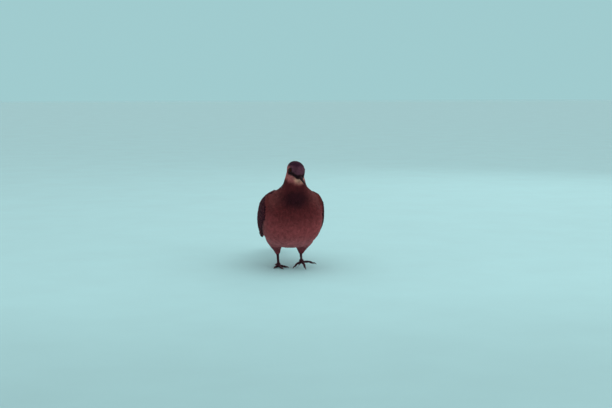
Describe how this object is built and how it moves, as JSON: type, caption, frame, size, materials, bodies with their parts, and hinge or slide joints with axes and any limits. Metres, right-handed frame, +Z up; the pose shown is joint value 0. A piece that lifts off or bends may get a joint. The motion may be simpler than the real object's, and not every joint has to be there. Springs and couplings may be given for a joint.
{
  "type": "oriental turtle dove",
  "caption": "Life-size still oriental turtle dove of the pigeon family, fluffed up in mid-step, head turned to its left and bill lowered.",
  "frame": {"origin": "on the floor, under the middle of the box round the bird", "axes": "the bird faces -Y, its tail is towards +Y, its left side is towards +X and +Z is up"},
  "size_m": [0.093, 0.2627, 0.1555],
  "materials": {
    "crown": "matt feather",
    "plumage": "matt feather",
    "wing": "matt feather with pale fringes",
    "tail": "matt feather",
    "bill": "dull horn",
    "eye": "wet gloss",
    "leg": "scaled skin",
    "claw": "dull horn"
  },
  "bodies": {
    "root": {"head": "crown", "neck": "plumage", "trunk": "plumage", "tail": "tail", "wing_right": "wing", "wing_left": "wing", "primaries_right": "wing", "primaries_left": "wing", "thigh_right": "plumage", "thigh_left": "plumage", "eye_right": "eye", "eye_left": "eye", "bill_upper": "bill", "bill_lower": "bill", "shank_right": "leg", "shank_left": "leg", "toe_right_inner": "leg", "toe_right_middle": "leg", "toe_right_outer": "leg", "toe_right_hind": "leg", "toe_left_inner": "leg", "toe_left_middle": "leg", "toe_left_outer": "leg", "toe_left_hind": "leg", "claw_right_inner": "claw", "claw_right_middle": "claw", "claw_right_outer": "claw", "claw_right_hind": "claw", "claw_left_inner": "claw", "claw_left_middle": "claw", "claw_left_outer": "claw", "claw_left_hind": "claw"}
  },
  "joints": []
}
